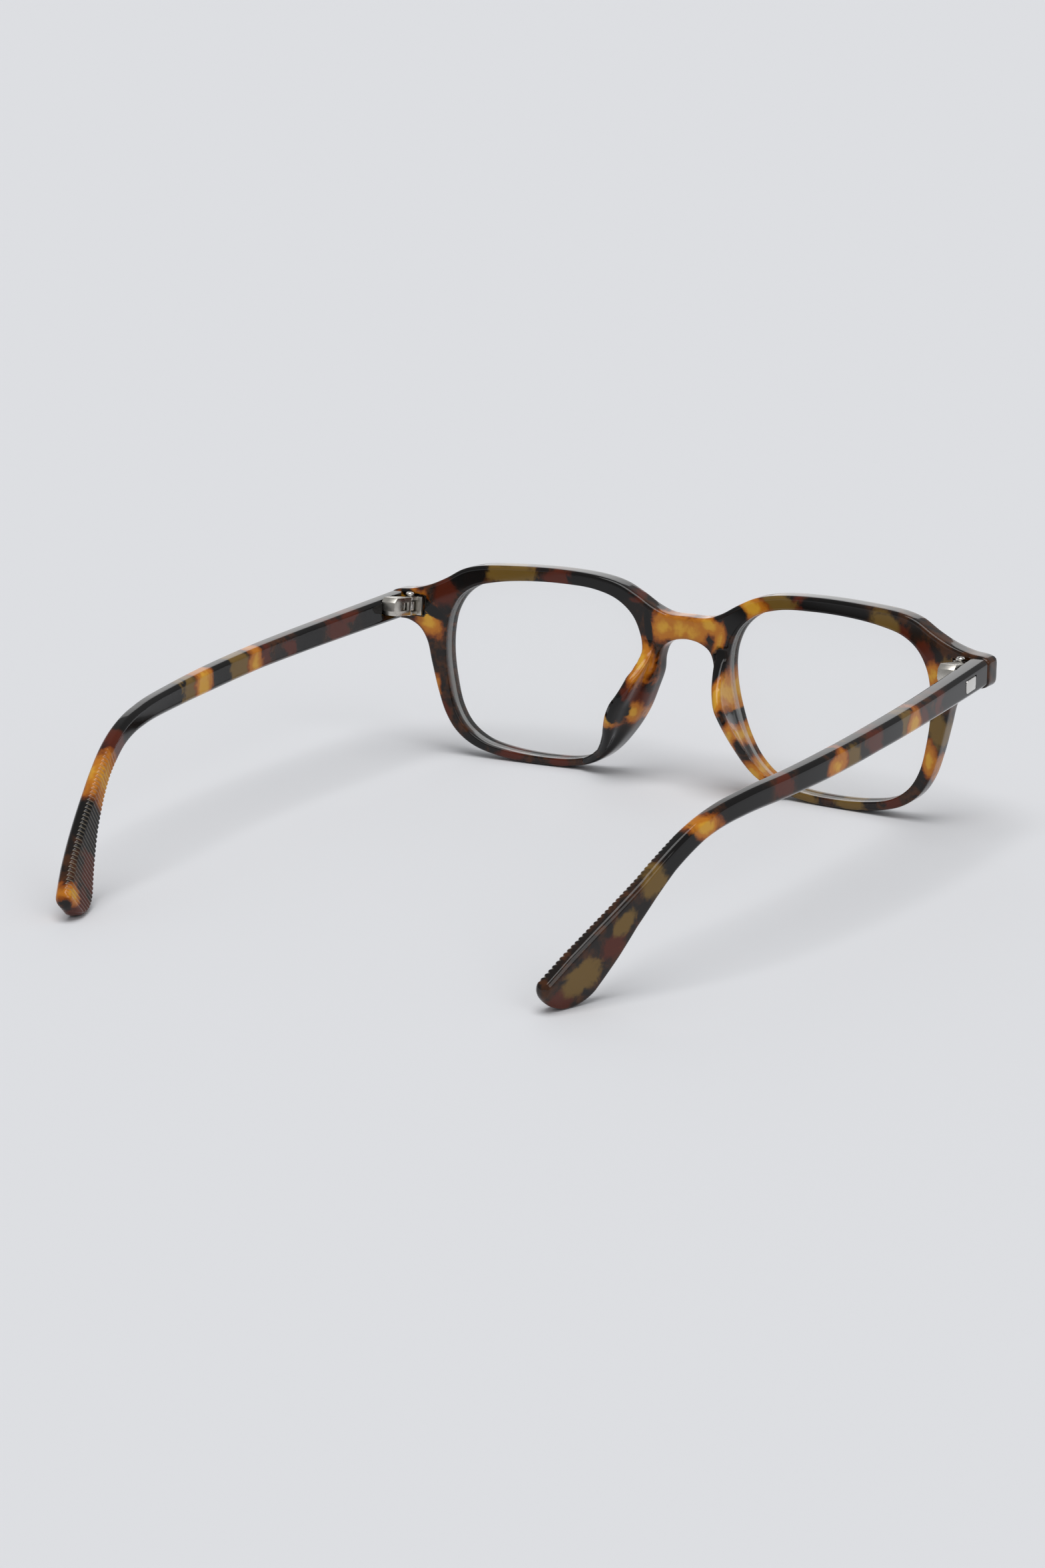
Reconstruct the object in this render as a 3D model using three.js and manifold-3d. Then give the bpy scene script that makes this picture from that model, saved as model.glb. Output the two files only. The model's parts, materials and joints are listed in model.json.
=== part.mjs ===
// Eyeglasses frame: acetate front and temples on sprung hinges, with clear display lenses.
// Millimetres. Built upright in its own frame: +X is the wearer's left, +Y runs back along the
// temples, and Z = 0 is the height of the lens centres. It is then leaned onto the rims and tips.
import * as THREE from 'three';
import { mergeVertices } from 'three/addons/utils/BufferGeometryUtils.js';
import { TessellateModifier } from 'three/addons/modifiers/TessellateModifier.js';
import Module from 'manifold-3d';

const wasm = await Module();
wasm.setup();

const degrees = Math.PI / 180;
const gap = 0.3; // between pieces that touch
const clear = 8; // how far a cutter reaches past what it cuts

// The front
const frontThickness = 4.6;
const sweepRadius = 430; // the front bends back round the face
const flatHalfWidth = 4; // the bridge itself is flat
const standLean = 0.86 * degrees; // lean of the whole frame on its rims and temple tips
const frontHalf = [ // outer outline from the top of the bridge round to the nose arch
  [0, 13.6], [4.6, 13.7], [8, 14.9], [12, 17.2], [16, 19.1], [21, 20.2], [30, 20.8], [41, 20.6],
  [50, 19.9], [53.6, 18.9], [57.5, 16.7], [61.5, 14.9], [65.6, 13.8], [69.2, 13.4], [70.3, 12.8],
  [70.5, 10.4], [70.3, 8], [69.3, 7.2], [66.4, 6.8], [63.8, 5.3], [62.1, 2.6], [61, -2], [59.5, -8],
  [57.7, -13.2], [55.2, -17], [51.2, -19.9], [45, -21.7], [36, -22.5], [28, -22.1], [22.2, -20.7],
  [17.9, -18], [13.7, -13.4], [10.2, -8], [8, -2.7], [6.7, 1], [6.4, 4.2], [5.4, 6.7], [3, 8.2], [0, 8.7],
];
const lensOpening = [ // clockwise from the top of the left opening, seen from behind
  [30, 17.8], [22, 17.3], [16.5, 15.6], [12.8, 12.6], [10.9, 8.8], [10.3, 5], [10.7, 0], [11.9, -5],
  [13.8, -10.2], [16.6, -14.8], [20.5, -18.2], [26, -20.1], [34, -20.7], [43, -20.1], [49, -18.6],
  [53, -15.8], [55.4, -11.8], [56.8, -6], [57.5, 0], [57.3, 5], [56.3, 9.3], [54, 13], [50.5, 15.4],
  [45, 16.8], [38, 17.6],
];
const lensThickness = 1.2;
const lensDepth = 1.7; // rear of the lens behind the front's rear face
const grooveDepth = 0.8;

// Nose pads: height, nose side, lens side, crest side and how far back the crest stands
const padStations = [
  [7.2, 7.2, 9.9, 8.9, 0.7], [4.4, 6.9, 10, 9.7, 2.3], [1.4, 7.2, 10.4, 10.6, 5.1],
  [-1.8, 8.1, 11.2, 11.7, 7.2], [-5, 9.3, 12.2, 13.4, 8.2], [-8.2, 10.7, 13.4, 15, 7.8],
  [-11.4, 12.5, 14.8, 16.4, 6.1], [-14.4, 14.7, 16.6, 17.7, 3.7], [-17, 17.2, 18.9, 18.8, 1.4],
  [-18.6, 19.3, 20.9, 20.4, 0.7],
];

// Hinges: the screw stands at hingeAxis, tilted so that each case points up and back
const hingeAxis = [64.8, 6.3, 10.4];
const hingeTilt = 7 * degrees;
const knuckleRadius = 1;
const holeRadius = 0.6;
const screwRadius = 0.5;
const screwHeadRadius = 0.95;
const earInner = 1.25;
const earOuter = 2;
const leafDepth = 2.3; // from the screw's axis to the foot of the leaf
const leafPlate = 0.7;
const leafSide = 2.1; // towards the nose
const caseHalfHeight = 1.95;
const caseInner = -1.3;
const caseOuter = 2.2;
const caseFront = 1.3;
const caseRear = 7.8;
const caseWall = 0.5;
const windowFront = 2.4;
const windowRear = 4.9;
const windowHalfHeight = 0.85;
const carriageRear = 3.5;
const pinRadius = 0.3;
const pinHeadRadius = 0.72;
const pinX = 0.3; // the guide pin runs beside the screw's axis
const pinHeadFront = 6.5;
const stopFront = 3.8;
const stopThickness = 0.5;
const springRadius = 0.62;
const springWire = 0.11;
const springTurns = 4;
const springGap = 0.15; // at each end
const slotHalfWidth = 0.14; // of the cross in the screw's head
const slotFloor = 0.4; // above the underside of the head

// Temples: the path starts behind the end of the front
const templeStart = [68.2, 5.35, 10.4];
const templeLength = 148.2;
const splay = -2.6 * degrees; // outward at the hinge
const curl = 35.3 * degrees; // inward by the tip
const curlRate = 2.15; // above 1, it curls in more towards the tip
const drop = 3.4 * degrees;
const earDrop = 37.2 * degrees;
const earBend = [0.584, 0.834]; // where along the temple it bends down behind the ear
const templeTops = [[0, 2.75], [0.2, 2.6], [0.34, 2.6], [0.47, 2.4], [0.56, 2.15], [0.65, 2],
  [0.72, 2.4], [0.78, 2.55], [0.82, 2.8], [0.86, 3.45], [0.9, 4.1], [0.945, 4.7], [1, 4.9]];
const templeBottoms = [[0, 2.75], [0.2, 2.4], [0.34, 2.2], [0.47, 2.4], [0.56, 2.35], [0.65, 2.2],
  [0.72, 1.7], [0.78, 1.8], [0.82, 2.3], [0.86, 3], [0.9, 4.2], [0.945, 5.3], [1, 5.4]];
const templeThicknesses = [[0, 4.2], [0.1, 4], [0.3, 3.8], [0.5, 3.4], [0.7, 2.9], [1, 3.2]];
const tipRolls = [[0, 0], [0.78, 0], [0.83, 4], [0.9, 9], [0.95, 14], [1, 20]]; // degrees, inner face up
const tipApex = 3; // the rounded end is furthest back this far above the path
const endFlat = 0.3; // the last ring stands for this much of the rounded end
const chamfer = 0.7;
const mitreAngle = 32 * degrees; // the inner corner of the butt end is cut back
const mitreInset = 0.7; // from the middle of the butt end
const plaqueAt = 8.2; // along the temple
const plaqueSize = [0.5, 4.8, 2.6];
const plaqueProud = 0.2;
const corner = 0.5; // of the plaque

const materials = {
  acetate: new THREE.MeshStandardMaterial({ color: 0x3a2414, roughness: 0.18, metalness: 0 }),
  lens: new THREE.MeshStandardMaterial({ color: 0xe8eeee, roughness: 0.05, metalness: 0,
    transparent: true, opacity: 0.3 }),
  satin: new THREE.MeshStandardMaterial({ color: 0xc9c6c0, roughness: 0.35, metalness: 1 }),
  bright: new THREE.MeshStandardMaterial({ color: 0xd8d8d8, roughness: 0.15, metalness: 1 }),
};

// --- Shared tools -----------------------------------------------------------------------------

const bow = (x) => Math.max(0, Math.abs(x) - flatHalfWidth) ** 2 / (2 * sweepRadius);

function lookUp(table, at) {
  const next = Math.max(1, table.findIndex(([place]) => place >= at));
  const [[from, low], [to, high]] = [table[next - 1], table[next]];
  return THREE.MathUtils.mapLinear(at, from, to, low, high);
}

function toSolid(geometry) {
  const bare = geometry.clone();
  bare.deleteAttribute('normal');
  bare.deleteAttribute('uv');
  const merged = mergeVertices(bare, 1e-4);
  return new wasm.Manifold(new wasm.Mesh({
    numProp: 3,
    vertProperties: new Float32Array(merged.attributes.position.array),
    triVerts: new Uint32Array(merged.index.array),
  }));
}

function toGeometry(solid) {
  const mesh = solid.getMesh();
  const geometry = new THREE.BufferGeometry();
  geometry.setAttribute('position', new THREE.BufferAttribute(mesh.vertProperties, 3));
  geometry.setIndex(new THREE.BufferAttribute(mesh.triVerts, 1));
  return geometry;
}

function cut(geometry, ...tools) {
  return toGeometry(tools.reduce((solid, tool) => solid.subtract(toSolid(tool)), toSolid(geometry)));
}

function join(geometry, ...others) {
  return toGeometry(others.reduce((solid, other) => solid.add(toSolid(other)), toSolid(geometry)));
}

function block([x0, x1], [y0, y1], [z0, z1]) {
  return new THREE.BoxGeometry(x1 - x0, y1 - y0, z1 - z0)
    .translate((x0 + x1) / 2, (y0 + y1) / 2, (z0 + z1) / 2);
}

function upright(radius, bottom, top, sides = 24) { // a cylinder along Z
  return new THREE.CylinderGeometry(radius, radius, top - bottom, sides)
    .rotateX(Math.PI / 2).translate(0, 0, (bottom + top) / 2);
}

function alongY(radius, front, rear, sides = 16) { // a cylinder along Y beside the screw
  return new THREE.CylinderGeometry(radius, radius, rear - front, sides)
    .translate(pinX, (front + rear) / 2, 0);
}

function mirrored(geometry) {
  const copy = (geometry.index ? geometry.toNonIndexed() : geometry.clone()).scale(-1, 1, 1);
  const array = copy.attributes.position.array;
  for (let i = 0; i < array.length; i += 9) {
    for (let k = 0; k < 3; k += 1) {
      [array[i + 3 + k], array[i + 6 + k]] = [array[i + 6 + k], array[i + 3 + k]];
    }
  }
  copy.deleteAttribute('normal');
  copy.deleteAttribute('uv');
  return copy;
}

function smoothOutline(points, count) {
  const curve = new THREE.CatmullRomCurve3(points.map(([x, z]) => new THREE.Vector3(x, z, 0)), true);
  return curve.getSpacedPoints(count).slice(0, count).map(({ x, y }) => new THREE.Vector2(x, y));
}

function grown(outline, amount) { // moves a closed outline outwards
  const turn = Math.sign(THREE.ShapeUtils.area(outline));
  return outline.map((point, i) => {
    const along = outline[(i + 1) % outline.length].clone()
      .sub(outline.at(i - 1)).normalize();
    return new THREE.Vector2(point.x + along.y * amount * turn, point.y - along.x * amount * turn);
  });
}

function plate(outline, rear, thickness, holes = []) { // stands in XZ, its rear face at Y = rear
  const shape = new THREE.Shape(outline);
  shape.holes = holes.map((hole) => new THREE.Path(hole));
  return new THREE.ExtrudeGeometry(shape, { depth: thickness, bevelEnabled: false })
    .rotateX(Math.PI / 2).translate(0, rear, 0);
}

function bent(geometry) { // follows the sweep of the front
  const loose = geometry.index ? geometry.toNonIndexed() : geometry;
  const fine = new TessellateModifier(9, 12).modify(loose);
  const { position } = fine.attributes;
  for (let i = 0; i < position.count; i += 1) {
    position.setY(i, position.getY(i) + bow(position.getX(i)));
  }
  return fine;
}

function loft(rings) { // closed skin over rings of points, each seen anticlockwise from its end
  const sides = rings[0].length;
  const triangles = [];
  for (let r = 0; r < rings.length - 1; r += 1) {
    for (let i = 0; i < sides; i += 1) {
      const j = (i + 1) % sides;
      triangles.push(rings[r][i], rings[r][j], rings[r + 1][j]);
      triangles.push(rings[r][i], rings[r + 1][j], rings[r + 1][i]);
    }
  }
  const last = rings.at(-1);
  for (let i = 1; i < sides - 1; i += 1) {
    triangles.push(rings[0][0], rings[0][i + 1], rings[0][i]);
    triangles.push(last[0], last[i], last[i + 1]);
  }
  return new THREE.BufferGeometry().setFromPoints(triangles);
}

// --- Front, nose pads and lenses ----------------------------------------------------------------

const hingePlace = new THREE.Matrix4().makeRotationX(hingeTilt).setPosition(...hingeAxis);

const opening = smoothOutline(lensOpening, 88);
const otherSide = (outline) => outline.map(({ x, y }) => new THREE.Vector2(-x, y)).reverse();

function makeFront() {
  const whole = [...frontHalf, ...frontHalf.slice(1, -1).reverse().map(([x, z]) => [-x, z])];
  const outline = smoothOutline(whole, 230);
  const slab = plate(outline, 0, frontThickness, [opening, otherSide(opening)]);
  const grooveRear = -lensDepth + gap;
  const groove = plate(grown(opening, grooveDepth), grooveRear, lensThickness + 2 * gap);
  const seat = block([-leafSide - gap, knuckleRadius + gap], [-leafDepth - gap, 3],
    [-earOuter - gap, earOuter + gap]).applyMatrix4(hingePlace);
  return cut(bent(cut(slab, groove, mirrored(groove))), seat, mirrored(seat));
}

function makeLens() {
  return bent(plate(grown(opening, grooveDepth - gap), -lensDepth, lensThickness));
}

function makeNosePad() {
  return loft(padStations.map(([z, noseX, lensX, crestX, crestY]) => {
    const foot = (x) => bow(x) + gap;
    return [
      [noseX, foot(noseX)], [lensX, foot(lensX)],
      [THREE.MathUtils.lerp(lensX, crestX, 0.8) + 0.2, crestY * 0.6 + gap], [crestX, crestY + gap],
      [crestX - 1.3, crestY * 0.95 + gap], [THREE.MathUtils.lerp(noseX, crestX, 0.15), crestY * 0.5 + gap],
    ].map(([x, y]) => new THREE.Vector3(x, y, z));
  }).reverse());
}

// --- Temples ------------------------------------------------------------------------------------

function templePath() { // a place and three directions at each step along the temple
  const steps = 118;
  const frames = [];
  const place = new THREE.Vector3(...templeStart);
  for (let i = 0; i <= steps; i += 1) {
    const share = i / steps;
    const turn = splay + curl * share ** curlRate;
    const pitch = drop + earDrop * THREE.MathUtils.smoothstep(share, ...earBend);
    const along = new THREE.Vector3(-Math.sin(turn) * Math.cos(pitch),
      Math.cos(turn) * Math.cos(pitch), -Math.sin(pitch));
    const up = new THREE.Vector3(-Math.sin(turn) * Math.sin(pitch),
      Math.cos(turn) * Math.sin(pitch), Math.cos(pitch));
    const out = new THREE.Vector3().crossVectors(along, up);
    frames.push({ share, place: place.clone(), along, up, out });
    place.addScaledVector(along, templeLength / steps);
  }
  return frames;
}

const path = templePath();

function placeOnTemple(distance) {
  const { place, along, up, out } = path[Math.round(distance / templeLength * (path.length - 1))];
  return new THREE.Matrix4().makeBasis(out, along, up).setPosition(place);
}

function templeRing({ share, place, up, out }) {
  const left = Math.max(endFlat, (1 - share) * templeLength);
  const rounded = (reach) => reach * Math.sqrt(1 - Math.max(0, 1 - left / reach) ** 2);
  const above = lookUp(templeTops, share);
  const apex = Math.min(tipApex, above - endFlat);
  const top = apex + rounded(above - apex);
  const bottom = apex - rounded(lookUp(templeBottoms, share) + apex);
  const wide = Math.min(lookUp(templeThicknesses, share) / 2, 0.8 + left / 2);
  const edge = Math.min(chamfer, (top - bottom) / 4, wide / 2);
  const roll = lookUp(tipRolls, share) * degrees;
  const across = out.clone().multiplyScalar(Math.cos(roll)).addScaledVector(up, -Math.sin(roll));
  const rise = up.clone().multiplyScalar(Math.cos(roll)).addScaledVector(out, Math.sin(roll));
  return [[wide - edge, bottom], [wide, bottom + edge], [wide, top - edge], [wide - edge, top],
    [edge - wide, top], [-wide, top - edge], [-wide, bottom + edge], [edge - wide, bottom]]
    .map(([o, u]) => place.clone().addScaledVector(across, o).addScaledVector(rise, u)).reverse();
}

function makeTemple() {
  const body = loft(path.map(templeRing));
  const pocket = block([caseInner - 3, caseOuter + gap], [caseFront - 3, caseRear + gap],
    [-caseHalfHeight - gap, caseHalfHeight + gap]).applyMatrix4(hingePlace);
  const knuckleRoom = upright(knuckleRadius + gap, -4, 4).applyMatrix4(hingePlace);
  const [startX, startY, startZ] = templeStart;
  const buttAngle = Math.atan((startX - flatHalfWidth) / sweepRadius);
  const butt = block([-clear, clear], [-clear, 0], [-clear, clear]).rotateZ(buttAngle)
    .translate(startX, bow(startX) + gap, startZ);
  const mitre = block([-clear, 0], [-clear, clear], [-clear, clear]).rotateZ(mitreAngle)
    .translate(startX - mitreInset, startY, startZ);
  const [deep, long, tall] = plaqueSize.map((side, i) => side / 2 + (i ? gap : 0));
  const outer = lookUp(templeThicknesses, plaqueAt / templeLength) / 2;
  const plaqueSeat = block([outer + plaqueProud - 2 * deep - gap, outer + 2], [-long, long], [-tall, tall])
    .applyMatrix4(placeOnTemple(plaqueAt));
  return cut(body, pocket, knuckleRoom, butt, mitre, plaqueSeat);
}

function makePlaque() {
  const [deep, long, tall] = plaqueSize;
  const face = new THREE.Shape();
  face.absarc(long / 2 - corner, tall / 2 - corner, corner, 0, Math.PI / 2);
  face.absarc(corner - long / 2, tall / 2 - corner, corner, Math.PI / 2, Math.PI);
  face.absarc(corner - long / 2, corner - tall / 2, corner, Math.PI, 1.5 * Math.PI);
  face.absarc(long / 2 - corner, corner - tall / 2, corner, 1.5 * Math.PI, 2 * Math.PI);
  const outer = lookUp(templeThicknesses, plaqueAt / templeLength) / 2;
  const slab = new THREE.ExtrudeGeometry(face, { depth: deep, bevelEnabled: false, curveSegments: 5 })
    .rotateX(Math.PI / 2).rotateZ(Math.PI / 2).translate(outer + plaqueProud - deep, 0, 0);
  return slab.applyMatrix4(placeOnTemple(plaqueAt));
}

// --- Hinge pieces, round the screw's axis ---------------------------------------------------------

function makeLeaf() {
  const base = block([-leafSide, knuckleRadius], [-leafDepth, leafPlate - leafDepth], [-earOuter, earOuter]);
  const ears = [[earInner, earOuter], [-earOuter, -earInner]].map(([bottom, top]) => join(
    upright(knuckleRadius, bottom, top),
    block([-knuckleRadius, knuckleRadius], [leafPlate / 2 - leafDepth, 0], [bottom, top]),
  ));
  return cut(join(base, ...ears), upright(holeRadius, -3, 3));
}

function makeScrew() {
  const head = earOuter + gap;
  const profile = [[0, -earOuter - 0.2], [screwRadius, -earOuter - 0.2], [screwRadius, head],
    [screwHeadRadius, head], [screwHeadRadius, head + 0.35], [screwHeadRadius * 0.75, head + 0.62],
    [screwHeadRadius * 0.35, head + 0.72], [0, head + 0.74]];
  const turned = new THREE.LatheGeometry(profile.map(([r, z]) => new THREE.Vector2(r, z)), 24)
    .rotateX(Math.PI / 2);
  const slot = block([-2, 2], [-slotHalfWidth, slotHalfWidth], [head + slotFloor, head + 2]);
  return cut(turned, slot, slot.clone().rotateZ(Math.PI / 2));
}

function makeCarriage() {
  const barrel = upright(knuckleRadius, gap - earInner, earInner - gap);
  const bar = block([-0.6, 0.9], [0.7, carriageRear], [gap - earInner, earInner - gap]);
  const hole = upright(holeRadius, -3, 3);
  return cut(join(barrel, bar), hole, alongY(pinRadius + 0.1, carriageRear - 1.2, carriageRear + 1));
}

function makeGuidePin() {
  return join(alongY(pinRadius, carriageRear - 1, pinHeadFront + 0.1),
    alongY(pinHeadRadius, pinHeadFront, pinHeadFront + 0.4));
}

function makeSpring() {
  class Helix extends THREE.Curve {
    getPoint(share, target = new THREE.Vector3()) {
      const angle = share * springTurns * 2 * Math.PI;
      const start = stopFront + stopThickness + springGap;
      const end = pinHeadFront - springGap;
      return target.set(pinX + springRadius * Math.cos(angle),
        THREE.MathUtils.lerp(start, end, share), springRadius * Math.sin(angle));
    }
  }
  const wire = new THREE.Shape(Array.from({ length: 6 }, (_, i) => new THREE.Vector2(
    springWire * Math.cos(i * Math.PI / 3), springWire * Math.sin(i * Math.PI / 3))));
  return new THREE.ExtrudeGeometry(wire, { steps: springTurns * 14, extrudePath: new Helix() });
}

function makeStop() {
  const room = caseWall + 0.1;
  return cut(block([caseInner + room, caseOuter - room], [stopFront, stopFront + stopThickness],
    [-earInner + gap, earInner - gap]), alongY(pinRadius + 0.1, stopFront - 1, stopFront + 2));
}

function makeCase() {
  const slant = 1; // the rear end is chamfered above and below
  const side = new THREE.Shape([[caseFront, -caseHalfHeight], [caseRear - slant, -caseHalfHeight],
    [caseRear, slant - caseHalfHeight], [caseRear, caseHalfHeight - slant],
    [caseRear - slant, caseHalfHeight], [caseFront, caseHalfHeight]]
    .map(([y, z]) => new THREE.Vector2(y, z)));
  const shell = new THREE.ExtrudeGeometry(side, { depth: caseOuter - caseInner, bevelEnabled: false })
    .rotateX(Math.PI / 2).rotateZ(Math.PI / 2).translate(caseInner, 0, 0);
  const cavity = block([caseInner + caseWall, caseOuter - caseWall], [caseFront - 1, caseRear - 0.6],
    [-earInner, earInner]);
  const window = block([caseInner - 1, 0], [windowFront, windowRear], [-windowHalfHeight, windowHalfHeight]);
  return cut(shell, cavity, window);
}

// --- The object -----------------------------------------------------------------------------------

const upFrame = new THREE.Group();

function add(name, geometry, material, group = upFrame) {
  const mesh = new THREE.Mesh(geometry, material);
  mesh.name = name;
  group.add(mesh);
}

add('frame_front', makeFront(), materials.acetate);
const pieces = [
  ['nose_pad', makeNosePad(), materials.acetate],
  ['lens', makeLens(), materials.lens],
  ['temple', makeTemple(), materials.acetate],
  ['temple_plaque', makePlaque(), materials.bright],
];
const hingePieces = [
  ['hinge_leaf', makeLeaf(), materials.satin],
  ['hinge_screw', makeScrew(), materials.bright],
  ['hinge_carriage', makeCarriage(), materials.bright],
  ['guide_pin', makeGuidePin(), materials.bright],
  ['flex_spring', makeSpring(), materials.bright],
  ['spring_stop', makeStop(), materials.satin],
  ['hinge_case', makeCase(), materials.satin],
];
for (const [side, sign] of [['left', 1], ['right', -1]]) {
  const hinge = new THREE.Group();
  hinge.position.set(sign * hingeAxis[0], hingeAxis[1], hingeAxis[2]);
  hinge.rotation.x = hingeTilt;
  upFrame.add(hinge);
  const placed = (geometry) => (sign > 0 ? geometry : mirrored(geometry));
  for (const [name, geometry, material] of pieces) {
    add(`${name}_${side}`, placed(geometry), material);
  }
  for (const [name, geometry, material] of hingePieces) {
    add(`${name}_${side}`, placed(geometry), material, hinge);
  }
}

// The origin is under the middle of the frame, on the surface that it stands on.
upFrame.rotation.x = standLean;
const box = new THREE.Box3().setFromObject(upFrame, true);
upFrame.position.set(0, -(box.min.y + box.max.y) / 2, -box.min.z);

const eyeglasses = new THREE.Group();
eyeglasses.add(upFrame);

export default eyeglasses;
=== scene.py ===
import json
import math

import bmesh
import bpy
import numpy as np
from mathutils import Matrix, Vector


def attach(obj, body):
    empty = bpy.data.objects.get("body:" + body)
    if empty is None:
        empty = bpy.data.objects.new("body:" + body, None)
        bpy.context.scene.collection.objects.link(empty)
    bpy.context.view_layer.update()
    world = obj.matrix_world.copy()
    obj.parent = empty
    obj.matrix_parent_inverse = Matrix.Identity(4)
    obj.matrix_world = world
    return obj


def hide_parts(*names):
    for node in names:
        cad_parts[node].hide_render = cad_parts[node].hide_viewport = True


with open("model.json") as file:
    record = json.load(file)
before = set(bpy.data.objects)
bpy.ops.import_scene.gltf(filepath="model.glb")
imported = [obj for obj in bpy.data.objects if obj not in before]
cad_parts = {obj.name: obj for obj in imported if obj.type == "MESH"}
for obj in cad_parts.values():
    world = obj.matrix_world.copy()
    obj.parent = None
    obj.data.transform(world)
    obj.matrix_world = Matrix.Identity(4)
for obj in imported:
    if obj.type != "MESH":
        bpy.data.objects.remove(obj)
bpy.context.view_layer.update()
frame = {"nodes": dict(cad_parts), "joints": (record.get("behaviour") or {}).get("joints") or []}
nodes = frame["nodes"]
print("frame loaded:", len(nodes), "nodes")

# Pieces are drawn in millimetres in the upright frame of the glasses: X to the wearer's left,
# Y back along the temples, Z = 0 at the lens centres. The hinge gives the way from there to the floor.
mm = 0.001
hinge = {"place": Vector((64.8, 6.3, 10.4)), "tilt": math.radians(7)}
foldJoint = next(joint for joint in frame["joints"] if joint["name"] == "temple_fold_left")
foldAxis = foldJoint["axis"]
lean = math.atan2(-foldAxis[1], foldAxis[2]) - hinge["tilt"]
leanMatrix = Matrix.Rotation(lean, 3, "X")
shift = Vector(foldJoint["pos_m"]) / mm - leanMatrix @ hinge["place"]
toRow = (Matrix.Scale(mm, 4) @ Matrix.Translation(shift) @ leanMatrix.to_4x4())
hingeTurn = Matrix.Translation(hinge["place"]) @ Matrix.Rotation(hinge["tilt"], 4, "X")
sides = {"left": 1, "right": -1}


# --- Mesh tools ---------------------------------------------------------------------------------

def newObject(name, mesh):
    piece = bpy.data.objects.new(name, mesh)
    bpy.context.scene.collection.objects.link(piece)
    return piece


def meshFrom(name, points, faces, mirror=False):  # points in upright millimetres
    points = np.array(points, float)
    if mirror:
        points[:, 0] *= -1
    mesh = bpy.data.meshes.new(name)
    mesh.from_pydata(points.tolist(), [], faces)
    mesh.transform(toRow)
    piece = newObject(name, mesh)
    tidyMesh(piece)
    return piece


def tidyMesh(piece, merge=1e-6):
    shape = bmesh.new()
    shape.from_mesh(piece.data)
    bmesh.ops.remove_doubles(shape, verts=shape.verts, dist=merge)
    bmesh.ops.dissolve_degenerate(shape, edges=shape.edges, dist=1e-7)
    bmesh.ops.recalc_face_normals(shape, faces=shape.faces)
    for face in shape.faces:
        face.smooth = True
    shape.to_mesh(piece.data)
    shape.free()


def applied(piece):  # turns live modifiers into a plain mesh
    bpy.context.view_layer.update()
    graph = bpy.context.evaluated_depsgraph_get()
    mesh = bpy.data.meshes.new_from_object(piece.evaluated_get(graph))
    piece.modifiers.clear()
    piece.data = mesh
    return piece


def sharpen(piece, angle):
    mesh = piece.data
    mesh.polygons.foreach_set("use_smooth", [True] * len(mesh.polygons))
    mesh.set_sharp_from_angle(angle=math.radians(angle))


def uprightPoints(mesh):  # a mesh's vertices in upright millimetres
    flat = np.zeros(len(mesh.vertices) * 3)
    mesh.vertices.foreach_get("co", flat)
    points = np.c_[flat.reshape(-1, 3), np.ones(len(mesh.vertices))]
    return (points @ np.array(toRow.inverted()).T)[:, :3]


def setAttribute(mesh, name, kind, values):
    layer = mesh.attributes.new(name, kind, "POINT")
    field = {"FLOAT": "value", "FLOAT_COLOR": "color", "FLOAT_VECTOR": "vector"}[kind]
    layer.data.foreach_set(field, np.ascontiguousarray(values, dtype=np.float32).ravel())


def curveAt(points, share):  # a closed smooth curve; share counts control points
    points = np.asarray(points, float)
    share = np.asarray(share, float) % len(points)
    start = np.floor(share).astype(int)
    part = (share - start)[:, None]
    before, here, there, after = (points[(start + k) % len(points)] for k in (-1, 0, 1, 2))
    gapA, gapB, gapC = (np.linalg.norm(b - a, axis=1, keepdims=True) ** 0.5
                        for a, b in ((before, here), (here, there), (there, after)))
    leave = ((here - before) / gapA - (there - before) / (gapA + gapB) + (there - here) / gapB) * gapB
    arrive = ((there - here) / gapB - (after - here) / (gapB + gapC) + (after - there) / gapC) * gapB
    square, cube = part ** 2, part ** 3
    return ((2 * cube - 3 * square + 1) * here + (cube - 2 * square + part) * leave
            + (3 * square - 2 * cube) * there + (cube - square) * arrive)


def distanceTo(points, outline):  # to a closed outline, in the plane
    best = np.full(len(points), 1e9)
    for start, end in zip(outline, np.roll(outline, -1, axis=0)):
        run = end - start
        share = np.clip(((points - start) @ run) / max(run @ run, 1e-12), 0, 1)
        best = np.minimum(best, np.linalg.norm(points - start - share[:, None] * run, axis=1))
    return best


def ease(value, low, high):
    share = np.clip((value - low) / (high - low), 0, 1)
    return share * share * (3 - 2 * share)


# --- Materials ----------------------------------------------------------------------------------

def tint(code):  # a web colour as linear light
    parts = [int(code[i:i + 2], 16) / 255 for i in (1, 3, 5)]
    return tuple(c / 12.92 if c <= 0.04045 else ((c + 0.055) / 1.055) ** 2.4 for c in parts) + (1,)


class Wire:  # a socket that takes part in sums
    def __init__(self, finish, socket):
        self.finish = finish
        self.socket = socket

    def math(self, operation, *others):
        return self.finish.node("ShaderNodeMath", {"operation": operation},
                                dict(enumerate((self,) + others)))

    def __add__(self, other):
        return self.math("ADD", other)

    def __mul__(self, other):
        return self.math("MULTIPLY", other)

    def __sub__(self, other):
        return self.math("SUBTRACT", other)

    def __rsub__(self, other):
        return self.finish.node("ShaderNodeMath", {"operation": "SUBTRACT"}, {0: other, 1: self})

    __radd__ = __add__
    __rmul__ = __mul__


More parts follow.
